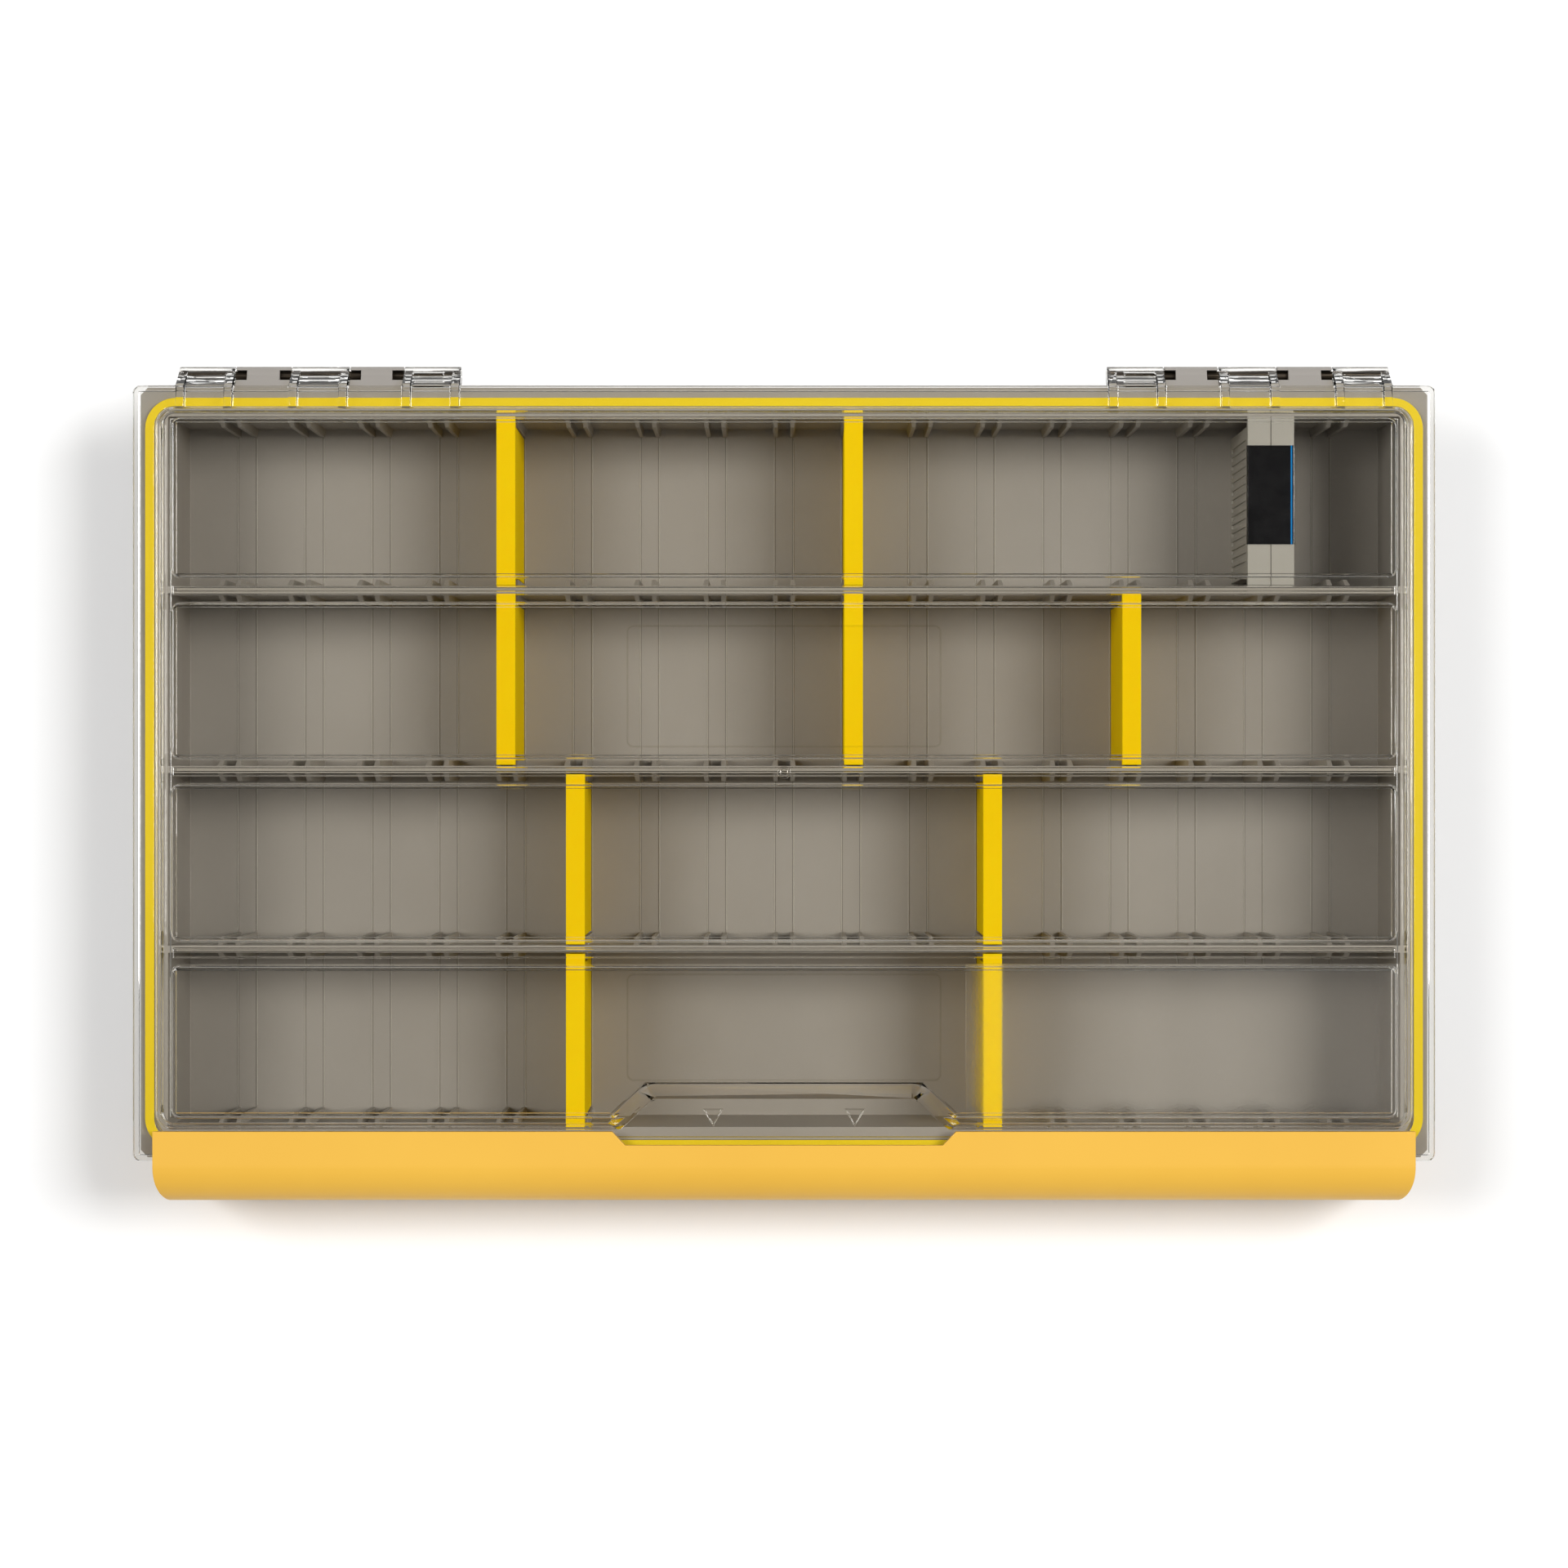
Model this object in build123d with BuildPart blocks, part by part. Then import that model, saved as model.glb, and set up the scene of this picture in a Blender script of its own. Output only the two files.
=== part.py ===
"""Waterproof compartment box with a clear hinged lid, a full-width front latch and loose dividers.

All sizes are in millimetres. The origin is on the ground under the middle of the box, X runs along
its length, +Y points to the hinges and +Z points up. The box is shut and latched.
"""

import os

from build123d import *

os.makedirs("parts", exist_ok=True)

# How far a joined feature reaches into what carries it, and how far a cut runs past a face
bite = 0.3
overcut = 0.2

# Lid in plan: its flange, and the skirt that hangs from it
lid_half_length = 179.4
lid_back = 109.8
lid_front = -103.8
lid_corner = 2.0
skirt_wall = 1.4
skirt_bottom = 42.4
flange_underside = 43.4
flange_top = 45.2

# Raised panel of the lid: two risers with a ledge between them, a deck and four pads
panel_half_length = 173.2
panel_back = 104.0
panel_front = -95.2
panel_corner = 5.0
ledge_top = 47.4
deck_top = 49.6
pad_top = 50.8
lid_wall = 1.6
room_corner = 2.4
riser_draft_side = 1.0
riser_draft_end = 0.8
ledge_width_side = 1.0
ledge_width_end = 0.5
pad_half_length = 167.6
pad_corner = 2.0
pad_draft = 0.5
pad_side_wall = 0.8
pad_edges = ((56.9, 100.1), (7.2, 49.3), (-42.8, -0.45), (-91.1, -50.2))
channel_groove_width = 2.2
channel_groove_depth = 0.7
channel_rib_width = 1.0

# Gasket, which presses on the tray's rim, and the wall that it is stretched round
gasket_half_length = 176.2
gasket_back = 106.5
gasket_front = -100.7
gasket_corner = 8.5
gasket_width = 2.5
gasket_play = 0.05
channel_wall = 0.8
channel_wall_bottom = 42.4

# Tray
tray_wall = 2.0
tray_corner = 4.0
tray_foot_chamfer = 1.5
interior_half_length = 170.0
interior_back = 101.4
interior_front = -94.7
inner_wall = 2.0
inner_wall_centres = (53.6, 4.0, -45.6)
floor_top = 2.4
foot_rim_width = 5.0
foot_rim_height = 0.6
rim_half_length = 177.6
rim_back = 109.4
rim_front = -103.0
rim_corner = 2.0
rim_underside = 40.0
rim_top = 42.0

# Divider slots: pairs of fins on every lengthwise wall
slot_pitch = 19.2
slots = tuple(range(-8, 9))
slots_without_recess = tuple(slot for slot in slots if abs(slot) > 2)
fin_depth = 2.2
fin_inner = 1.75
fin_root = 3.3
fin_tip = 2.85
fin_top = 39.8
fin_ramp_drop = 5.6

# Hinges: one pin line behind the flange, two groups of five knuckles
hinge_y = 113.2
hinge_z = 37.0
barrel_radius = 2.6
hinge_pin_radius = 1.4
press_bite = 0.02
running_gap = 0.05
knuckle_gap = 0.3
hinge_outer_end = 167.5
lid_knuckle_spans = ((-167.5, -152.0), (-136.4, -120.4), (-105.2, -89.5))
tray_knuckle_spans = ((-152.0, -136.4), (-120.4, -105.2))
hinge_pin_ends = (-166.6, -90.6)
arm_brace_drop = 5.0
pin_window_length = 3.0
pin_window_width = 2.8
web_seat = 0.6
gusset_thickness = 2.3
gusset_foot = (-0.8, 2.0)
gusset_shoulder = (-0.6, 1.4)
gusset_toe_outer = (2.2, 1.0)
gusset_toe_inner = (-1.8, 1.4)
sink_window_length = 8.2
sink_window_point = 0.9
sink_window_width = 1.8
sink_window_depth = 0.6
sink_window_from_end = 7.0

# Finger recess in the lid's front edge
recess_half_width = 36.2
recess_back = -86.7
recess_mouth = -105.0
recess_side_spread = 1.07
recess_slope = 38.8
recess_corner = 2.5
recess_wall = 0.15

# Latch: lip, rounded shoulder, front face and foot
latch_half_length = 173.6
latch_back = -95.6
latch_front = -115.2
latch_top = 47.8
latch_wall = 2.2
latch_lip_underside = 45.6
latch_bottom = 3.9
shoulder_back = -104.5
shoulder_drop = 13.0
inner_shoulder_back = -105.0
inner_shoulder_drop = 14.0
face_lean = 0.4
foot_lean = 1.0
foot_height = 2.6
latch_end_wall_back = -104.6
end_wall_foot_back = -107.5
end_wall_foot_rise = 8.0
latch_notch_half_width = 47.3
latch_notch_depth = 3.75
latch_notch_spread = 3.6
latch_corner_x = 4.8
latch_corner_y = 10.0

# Latch pivot: an ear in each proud end block, and a lug on a cheek of the tray beside it
latch_y = -109.0
latch_z = 7.5
latch_pin_radius = 1.25
latch_pin_span = (151.0, 169.6)
ear_radius = 3.4
ear_span = (160.9, 170.1)
ear_brace_rise = 4.0
proud_front = -115.8
proud_top = 33.8
proud_slope = 2.5
proud_foot = 1.0
lug_radius = 3.2
lug_span = (150.4, 160.5)
lug_brace_rise = 6.0
cheek_thickness = 2.4
cheek_front = -110.6
cheek_shoulder = 30.0
cheek_top_front = -101.5

# Dividers
row_play = 0.3
body_play = 0.2
divider_thickness = 5.2
divider_foot_thickness = 4.8
divider_tongue = 3.1
divider_bar_bottom = 39.9
divider_top = 42.4
divider_wall = 1.3

# Moisture divider
wick_slot = 7
wick_width = 12.8
wick_wall = 1.2
wick_half_wall = 1.6
wick_rib_pitch = 2.4
wick_rib_depth = 0.35
wick_rib_margin = 2.0
wick_core_play = 0.3
wick_label_length = 27.3
wick_label_thickness = 0.25
wick_label_skirt = 1.0

# Rows of compartments from the hinges to the latch, as the front and back edges of each
row_fronts = [centre + inner_wall / 2 for centre in inner_wall_centres] + [interior_front]
row_backs = [interior_back] + [centre - inner_wall / 2 for centre in inner_wall_centres]
row_slots = (slots, slots, slots, slots_without_recess)

# Deck of the lid, after both risers and the ledge
deck_inset_side = 2 * riser_draft_side + ledge_width_side
deck_inset_end = 2 * riser_draft_end + ledge_width_end
deck_underside = deck_top - lid_wall
lower_room_top = flange_top + web_seat


def plan_outline(half_length, front, back, radius=None, mode=Mode.ADD):
    """A rectangle in plan, even about X, between a front and a back edge, rounded if it has a radius."""
    with Locations((0, (front + back) / 2)):
        if radius is None:
            Rectangle(2 * half_length, back - front, mode=mode)
        else:
            RectangleRounded(2 * half_length, back - front, radius, mode=mode)


def ring_outline(half_length, front, back, radius, width):
    """A rounded rectangular ring in plan that is this wide, measured inwards."""
    plan_outline(half_length, front, back, radius)
    plan_outline(half_length - width, front + width, back - width, radius - width, mode=Mode.SUBTRACT)


def tray_outline(inset, radius=tray_corner, mode=Mode.ADD):
    """The tray's outer wall in plan, moved inwards by the inset."""
    plan_outline(
        interior_half_length + tray_wall - inset,
        interior_front - tray_wall + inset,
        interior_back + tray_wall - inset,
        radius,
        mode=mode,
    )


def panel_outline(inset_side, inset_end, radius=None):
    """The lid's raised panel in plan, moved inwards at its sides and at its front and back."""
    plan_outline(
        panel_half_length - inset_side, panel_front + inset_end, panel_back - inset_end, radius
    )


def both_sides(span):
    """The X spans of a left-hand feature and of its mirror image on the right."""
    return (span, (-span[1], -span[0]))


def recess_plan():
    """The finger recess at the level of the flange: a trapezoid that widens towards the front."""
    mouth_half_width = recess_half_width + (recess_back - recess_mouth) * recess_side_spread
    Polygon(
        (-recess_half_width, recess_back),
        (-mouth_half_width, recess_mouth),
        (mouth_half_width, recess_mouth),
        (recess_half_width, recess_back),
    )


def latch_outer_face():
    """The latch's outer face in section, from the back of its lip down to its foot."""
    lip = Line((latch_back, latch_top), (shoulder_back, latch_top))
    shoulder = TangentArc(lip @ 1, (latch_front, latch_top - shoulder_drop), tangent=lip % 1)
    face = Line(shoulder @ 1, (latch_front + face_lean, latch_bottom + foot_height))
    Line(face @ 1, (latch_front + foot_lean, latch_bottom))


# Fins of the divider slots: each a little wider at its root, with a steep ramp down to its tip
fin_slope = fin_ramp_drop / fin_depth
fin_roots = {
    1: [(slot * slot_pitch, front) for front, row in zip(row_fronts, row_slots) for slot in row],
    -1: [(slot * slot_pitch, back) for back, row in zip(row_backs, row_slots) for slot in row],
}
with BuildPart() as slot_fins:
    with BuildSketch(Plane.XY.offset(floor_top)):
        for facing, roots in fin_roots.items():
            for side in (1, -1):
                with Locations(*roots):
                    Polygon(
                        (side * fin_inner, -facing * bite),
                        (side * fin_inner, facing * fin_depth),
                        (side * fin_tip, facing * fin_depth),
                        (side * fin_root, -facing * bite),
                    )
    extrude(amount=fin_top - floor_top, clean=False)
    with BuildSketch(Plane.YZ.offset(-interior_half_length)):
        for facing, edges in ((1, row_fronts), (-1, row_backs)):
            with Locations(*[(edge, fin_top) for edge in edges]):
                Polygon(
                    (-facing * bite, bite * fin_slope),
                    (facing * (fin_depth + overcut), bite * fin_slope),
                    (facing * (fin_depth + overcut), -(fin_depth + overcut) * fin_slope),
                )
    extrude(amount=2 * interior_half_length, mode=Mode.SUBTRACT, clean=False)


# Tray: a tub with three lengthwise walls
with BuildPart() as base_tray:
    with BuildSketch():
        tray_outline(0)
    extrude(amount=rim_top)
    chamfer(base_tray.edges().group_by(Axis.Z)[0], tray_foot_chamfer)
    with BuildSketch(Plane.XY.offset(floor_top)):
        for front, back in zip(row_fronts, row_backs):
            plan_outline(interior_half_length, front, back)
    extrude(amount=rim_top - floor_top, mode=Mode.SUBTRACT)

    # Outward rim, level with the walls, that the gasket presses on
    with BuildSketch(Plane.XY.offset(rim_underside)):
        plan_outline(rim_half_length, rim_front, rim_back)
        chamfer(vertices(), rim_corner)
        tray_outline(tray_wall / 2, mode=Mode.SUBTRACT)
    extrude(amount=rim_top - rim_underside)

    # Foot rim round a shallow recess in the underside
    with BuildSketch():
        tray_outline(foot_rim_width, radius=None)
    extrude(amount=foot_rim_height, mode=Mode.SUBTRACT)

    # Hinge knuckles on braced arms
    for left_span in tray_knuckle_spans:
        for start, end in both_sides(left_span):
            with BuildSketch(Plane.YZ.offset(start + knuckle_gap)):
                with Locations((hinge_y, hinge_z)):
                    Circle(barrel_radius)
                Polygon(
                    (interior_back + tray_wall / 2, rim_top),
                    (rim_back, rim_top),
                    (hinge_y, hinge_z + barrel_radius),
                    (hinge_y, hinge_z - barrel_radius),
                    (interior_back + tray_wall / 2, hinge_z - barrel_radius - arm_brace_drop),
                )
            extrude(amount=end - start - 2 * knuckle_gap)
            # A window at each end of the knuckle shows the pin
            with BuildSketch(Plane.XY.offset(hinge_z)):
                for x in (start + knuckle_gap, end - knuckle_gap):
                    with Locations((x, hinge_y)):
                        Rectangle(2 * pin_window_length, pin_window_width)
            extrude(amount=barrel_radius + overcut, mode=Mode.SUBTRACT)

    # Lugs for the latch pins, low on the front wall, each on a cheek that reaches up to the rim
    for start, end in both_sides(lug_span):
        with BuildSketch(Plane.YZ.offset(start)):
            with Locations((latch_y, latch_z)):
                Circle(lug_radius)
            Polygon(
                (interior_front - tray_wall / 2, latch_z - lug_radius),
                (latch_y, latch_z - lug_radius),
                (latch_y, latch_z + lug_radius),
                (interior_front - tray_wall / 2, latch_z + lug_radius + lug_brace_rise),
            )
        extrude(amount=end - start)
    for start, end in both_sides((lug_span[1] - cheek_thickness, lug_span[1])):
        with BuildSketch(Plane.YZ.offset(start)):
            Polygon(
                (interior_front - tray_wall / 2, latch_z),
                (latch_y, latch_z),
                (cheek_front, latch_z + lug_radius),
                (cheek_front, cheek_shoulder),
                (cheek_top_front, rim_underside + bite),
                (interior_front - tray_wall / 2, rim_underside + bite),
            )
        extrude(amount=end - start)

    # Bores that grip the pins
    for start, end in both_sides((-hinge_outer_end, hinge_pin_ends[1])):
        with BuildSketch(Plane.YZ.offset(start)):
            with Locations((hinge_y, hinge_z)):
                Circle(hinge_pin_radius - press_bite)
        extrude(amount=end - start, mode=Mode.SUBTRACT)
    for start, end in both_sides(latch_pin_span):
        with BuildSketch(Plane.YZ.offset(start)):
            with Locations((latch_y, latch_z)):
                Circle(latch_pin_radius - press_bite)
        extrude(amount=end - start, mode=Mode.SUBTRACT)

    add(slot_fins.part)


# Room inside the lid, as a solid to take away
with BuildPart() as lid_room:
    with BuildSketch(Plane.XY.offset(skirt_bottom)):
        panel_outline(lid_wall, lid_wall)
        chamfer(vertices(), room_corner)
    extrude(amount=lower_room_top - skirt_bottom)
    with BuildSketch(Plane.XY.offset(lower_room_top)):
        panel_outline(deck_inset_side + lid_wall, deck_inset_end + lid_wall)
    extrude(amount=deck_underside - lower_room_top)
    with BuildSketch(Plane.XY.offset(deck_underside)):
        for front, back in pad_edges:
            plan_outline(
                pad_half_length - pad_side_wall, front + pad_side_wall, back - pad_side_wall
            )
    extrude(amount=pad_top - deck_top)
    # The wall round the finger recess stays
    with BuildSketch(Plane.XY.offset(flange_underside)):
        recess_plan()
        offset(amount=recess_wall, kind=Kind.INTERSECTION)
    extrude(amount=pad_top - flange_underside, taper=-recess_slope, mode=Mode.SUBTRACT)

# Lid: flange and skirt, then the panel in steps
with BuildPart() as lid:
    with BuildSketch(Plane.XY.offset(skirt_bottom)):
        plan_outline(lid_half_length, lid_front, lid_back, lid_corner)
    extrude(amount=flange_top - skirt_bottom)
    with BuildSketch(Plane.XY.offset(skirt_bottom)):
        plan_outline(lid_half_length - skirt_wall, lid_front + skirt_wall, lid_back - skirt_wall)
    extrude(amount=flange_underside - skirt_bottom, mode=Mode.SUBTRACT)

    inset_side = 0.0
    inset_end = 0.0
    for riser_bottom, riser_top in ((flange_top, ledge_top), (ledge_top, deck_top)):
        with BuildSketch(Plane.XY.offset(riser_bottom)):
            panel_outline(inset_side, inset_end, panel_corner - inset_end)
        inset_side = inset_side + riser_draft_side
        inset_end = inset_end + riser_draft_end
        with BuildSketch(Plane.XY.offset(riser_top)):
            panel_outline(inset_side, inset_end, panel_corner - inset_end)
        loft()
        inset_side = inset_side + ledge_width_side
        inset_end = inset_end + ledge_width_end

    for front, back in pad_edges:
        with BuildSketch(Plane.XY.offset(deck_top)):
            plan_outline(
                pad_half_length + pad_draft,
                front - pad_draft,
                back + pad_draft,
                pad_corner + pad_draft,
            )
        with BuildSketch(Plane.XY.offset(pad_top)):
            plan_outline(pad_half_length, front, back, pad_corner)
        loft()

    # A groove along each channel between two pads
    with BuildSketch(Plane.XY.offset(deck_top)):
        for upper, lower in zip(pad_edges, pad_edges[1:]):
            with Locations((0, (upper[0] + lower[1]) / 2)):
                Rectangle(2 * pad_half_length, channel_groove_width)
    extrude(amount=-channel_groove_depth, mode=Mode.SUBTRACT)

    add(lid_room.part, mode=Mode.SUBTRACT)

    # Ribs that close the gap above the tray's lengthwise walls
    with BuildSketch(Plane.XY.offset(channel_wall_bottom)):
        for centre in inner_wall_centres:
            with Locations((0, centre)):
                Rectangle(2 * pad_half_length, channel_rib_width)
    extrude(amount=deck_underside + overcut - channel_wall_bottom)

    # The wall that the gasket is stretched round
    with BuildSketch(Plane.XY.offset(channel_wall_bottom)):
        ring_outline(
            gasket_half_length - gasket_width,
            gasket_front + gasket_width,
            gasket_back - gasket_width,
            gasket_corner - gasket_width,
            channel_wall,
        )
    extrude(amount=flange_underside + overcut - channel_wall_bottom)

    # Finger recess with sloping sides
    with BuildSketch(Plane.XY.offset(flange_top)):
        recess_plan()
        back_corners = vertices().group_by(Axis.Y)[-1]
        fillet(back_corners, recess_corner)
    extrude(amount=pad_top + overcut - flange_top, taper=-recess_slope, mode=Mode.SUBTRACT)

    # Hinge knuckles: a barrel, a web to the flange and a gusset at each end
    for left_span in lid_knuckle_spans:
        for start, end in both_sides(left_span):
            with BuildSketch(Plane.YZ.offset(start)):
                with Locations((hinge_y, hinge_z)):
                    Circle(barrel_radius)
                Polygon(
                    (lid_back - web_seat, flange_top),
                    (hinge_y, hinge_z + barrel_radius),
                    (hinge_y - barrel_radius / 2, hinge_z),
                    (lid_back - web_seat, skirt_bottom + web_seat),
                )
            extrude(amount=end - start)
            for gusset_start in (start, end - gusset_thickness):
                with BuildSketch(Plane.YZ.offset(gusset_start)):
                    Polygon(
                        (hinge_y + gusset_toe_outer[0], hinge_z + gusset_toe_outer[1]),
                        (lid_back + gusset_shoulder[0], flange_top + gusset_shoulder[1]),
                        (panel_back + gusset_foot[0], flange_top + gusset_foot[1]),
                        (panel_back + gusset_foot[0], flange_top - bite),
                        (lid_back - web_seat, flange_top - bite),
                        (hinge_y + gusset_toe_inner[0], hinge_z + gusset_toe_inner[1]),
                    )
                extrude(amount=gusset_thickness)
    # Running bores
    for start, end in both_sides((-hinge_outer_end, lid_knuckle_spans[-1][1])):
        with BuildSketch(Plane.YZ.offset(start)):
            with Locations((hinge_y, hinge_z)):
                Circle(hinge_pin_radius + running_gap)
        extrude(amount=end - start, mode=Mode.SUBTRACT)
    # A shallow window, pointed at its outer end, sunk in the innermost barrel
    with BuildSketch(Plane.XY.offset(hinge_z + barrel_radius)):
        for side in (-1, 1):
            middle = side * (-lid_knuckle_spans[-1][0] - sink_window_from_end)
            half = sink_window_length / 2
            with Locations((middle, hinge_y)):
                Polygon(
                    (side * (half + sink_window_point), 0),
                    (side * half, sink_window_width / 2),
                    (-side * half, sink_window_width / 2),
                    (-side * half, -sink_window_width / 2),
                    (side * half, -sink_window_width / 2),
                )
    extrude(amount=-sink_window_depth, mode=Mode.SUBTRACT)

# Gasket: a ring that grips the wall inside it
with BuildPart() as lid_gasket:
    with BuildSketch(Plane.XY.offset(rim_top)):
        ring_outline(gasket_half_length, gasket_front, gasket_back, gasket_corner, gasket_width)
    extrude(amount=flange_underside - gasket_play - rim_top)


# Latch: one bent section along X, closed by an end wall each side
with BuildPart() as front_latch:
    with BuildSketch(Plane.YZ.offset(-latch_half_length)):
        with BuildLine():
            latch_outer_face()
            inner_top = (inner_shoulder_back, latch_lip_underside)
            inner_low = (latch_front + latch_wall, latch_top - inner_shoulder_drop)
            Polyline(
                (latch_front + foot_lean, latch_bottom),
                (latch_front + latch_wall, latch_bottom),
                inner_low,
            )
            TangentArc(inner_top, inner_low, tangent=(-1, 0))
            Polyline(inner_top, (latch_back, latch_lip_underside), (latch_back, latch_top))
        make_face()
    extrude(amount=2 * latch_half_length)
    # End walls in front of the lid's skirt
    for start, end in both_sides((-latch_half_length, -latch_half_length + latch_wall)):
        with BuildSketch(Plane.YZ.offset(start)):
            with BuildLine():
                latch_outer_face()
                Polyline(
                    (latch_front + foot_lean, latch_bottom),
                    (end_wall_foot_back, latch_bottom),
                    (latch_end_wall_back, latch_bottom + end_wall_foot_rise),
                    (latch_end_wall_back, latch_lip_underside),
                    (latch_back, latch_lip_underside),
                    (latch_back, latch_top),
                )
            make_face()
        extrude(amount=end - start)
    # Proud blocks with the ears that turn on the pins
    for start, end in both_sides(ear_span):
        with BuildSketch(Plane.YZ.offset(start)):
            with Locations((latch_y, latch_z)):
                Circle(ear_radius)
            Polygon(
                (latch_y, latch_z - ear_radius),
                (latch_y, latch_z + ear_radius),
                (latch_front + latch_wall, latch_z + ear_radius + ear_brace_rise),
                (latch_front + foot_lean, proud_top),
                (latch_front + face_lean, proud_top + proud_slope),
                (proud_front, proud_top),
                (proud_front, latch_z - ear_radius + proud_foot),
                (proud_front + proud_foot, latch_z - ear_radius),
            )
        extrude(amount=end - start)
    for start, end in both_sides(latch_pin_span):
        with BuildSketch(Plane.YZ.offset(start)):
            with Locations((latch_y, latch_z)):
                Circle(latch_pin_radius + running_gap)
        extrude(amount=end - start, mode=Mode.SUBTRACT)
    # Notch that lets a finger in behind the lip
    with BuildSketch(Plane.XY.offset(latch_lip_underside - overcut)):
        Polygon(
            (-latch_notch_half_width, latch_back),
            (-latch_notch_half_width + latch_notch_spread, latch_back - latch_notch_depth),
            (latch_notch_half_width - latch_notch_spread, latch_back - latch_notch_depth),
            (latch_notch_half_width, latch_back),
        )
    extrude(amount=latch_wall + 2 * overcut, mode=Mode.SUBTRACT)
    # Corners of the plan are rounded off
    with BuildSketch(Plane.XY.offset(latch_bottom - bite)):
        for side in (-1, 1):
            with BuildLine():
                arc_centre = (side * (latch_half_length - latch_corner_x), proud_front + latch_corner_y)
                EllipticalCenterArc(
                    arc_centre,
                    latch_corner_x,
                    latch_corner_y,
                    start_angle=270 if side > 0 else 180,
                    arc_size=90,
                )
                Polyline(
                    (side * latch_half_length, arc_centre[1]),
                    (side * (latch_half_length + bite), arc_centre[1]),
                    (side * (latch_half_length + bite), proud_front - bite),
                    (arc_centre[0], proud_front - bite),
                    (arc_centre[0], proud_front),
                )
            make_face()
    extrude(amount=latch_top, mode=Mode.SUBTRACT)


# Pins
def make_pin(start, end, y, z, radius):
    """A plain steel pin along X, cut off square."""
    with BuildPart() as pin:
        with BuildSketch(Plane.YZ.offset(start)):
            with Locations((y, z)):
                Circle(radius)
        extrude(amount=end - start)
    return pin.part


pins = {}
for side_name, (start, end) in zip(("left", "right"), both_sides(hinge_pin_ends)):
    pins[f"hinge_pin_{side_name}"] = make_pin(start, end, hinge_y, hinge_z, hinge_pin_radius)
for side_name, (start, end) in zip(("right", "left"), both_sides(latch_pin_span)):
    pins[f"latch_pin_{side_name}"] = make_pin(start, end, latch_y, latch_z, latch_pin_radius)


def row_lengths(row):
    """The middle of a row, a divider's length from wall to wall and its length between the fins."""
    middle = (row_fronts[row] + row_backs[row]) / 2
    full_length = row_backs[row] - row_fronts[row] - 2 * row_play
    return middle, full_length, full_length - 2 * (fin_depth + body_play)


def make_divider(row, slot):
    """A hollow divider: a body between the fins, a tongue at each end and a full-width bar on top."""
    x = slot * slot_pitch
    middle, full_length, body_length = row_lengths(row)
    with BuildPart() as divider:
        with BuildSketch(Plane.XY.offset(floor_top)):
            with Locations((x, middle)):
                Rectangle(divider_foot_thickness, body_length)
        with BuildSketch(Plane.XY.offset(divider_bar_bottom)):
            with Locations((x, middle)):
                Rectangle(divider_thickness, body_length)
        loft()
        with BuildSketch(Plane.XY.offset(floor_top)):
            with Locations((x, middle)):
                Rectangle(divider_tongue, full_length)
        extrude(amount=divider_bar_bottom - floor_top)
        with BuildSketch(Plane.XY.offset(divider_bar_bottom)):
            with Locations((x, middle)):
                Rectangle(divider_thickness, full_length)
        extrude(amount=divider_top - divider_bar_bottom)
        with BuildSketch(Plane.XY.offset(floor_top)):
            with Locations((x, middle)):
                Rectangle(
                    divider_foot_thickness - 2 * divider_wall, body_length - 2 * divider_wall
                )
        extrude(amount=divider_top - divider_wall - floor_top, mode=Mode.SUBTRACT)
    return divider.part


divider_places = {
    "divider_row1_left": (0, -4),
    "divider_row1_middle": (0, 1),
    "divider_row2_left": (1, -4),
    "divider_row2_middle": (1, 1),
    "divider_row2_right": (1, 5),
    "divider_row3_left": (2, -3),
    "divider_row3_right": (2, 3),
    "divider_row4_left": (3, -3),
    "divider_row4_right": (3, 3),
}
dividers = {name: make_divider(row, slot) for name, (row, slot) in divider_places.items()}


# Moisture divider: two ribbed half shells round an absorbent core, with a band across the top
wick_x = wick_slot * slot_pitch
wick_middle, wick_full_length, wick_body_length = row_lengths(0)
wick_room_bottom = floor_top + wick_wall
wick_room_length = wick_body_length - 2 * wick_wall
wick_room_width = wick_width - 2 * wick_half_wall


def make_wick_shell(side):
    """Half of the moisture divider's case, on one side of its parting plane."""
    half = wick_width / 2
    tongue = divider_tongue / 2
    with BuildPart() as shell:
        with BuildSketch(Plane.XY.offset(floor_top)):
            with Locations((wick_x + side * half / 2, wick_middle)):
                Rectangle(half, wick_body_length)
            with Locations((wick_x + side * tongue / 2, wick_middle)):
                Rectangle(tongue, wick_full_length)
        extrude(amount=divider_bar_bottom - floor_top)
        with BuildSketch(Plane.XY.offset(divider_bar_bottom)):
            with Locations((wick_x + side * half / 2, wick_middle)):
                Rectangle(half, wick_full_length)
        extrude(amount=divider_top - divider_bar_bottom)
        # Upright grooves between the ribs of the outer face
        rib_count = int((wick_body_length - 2 * wick_rib_margin) / wick_rib_pitch)
        with BuildSketch(Plane.XY.offset(floor_top + wick_rib_margin)):
            with Locations((wick_x + side * half, wick_middle)):
                with GridLocations(1, wick_rib_pitch, 1, rib_count):
                    Rectangle(2 * wick_rib_depth, wick_rib_pitch / 2)
        extrude(
            amount=divider_bar_bottom - floor_top - 2 * wick_rib_margin, mode=Mode.SUBTRACT
        )
        # Room for the core
        with BuildSketch(Plane.XY.offset(wick_room_bottom)):
            with Locations((wick_x, wick_middle)):
                Rectangle(wick_room_width, wick_room_length)
        extrude(amount=divider_top - wick_wall - wick_room_bottom, mode=Mode.SUBTRACT)
    return shell.part


with BuildPart() as wick_core:
    with BuildSketch(Plane.XY.offset(wick_room_bottom)):
        with Locations((wick_x, wick_middle)):
            Rectangle(
                wick_room_width - 2 * wick_core_play, wick_room_length - 2 * wick_core_play
            )
    extrude(amount=divider_top - wick_wall - wick_room_bottom - 2 * wick_core_play)

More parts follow.
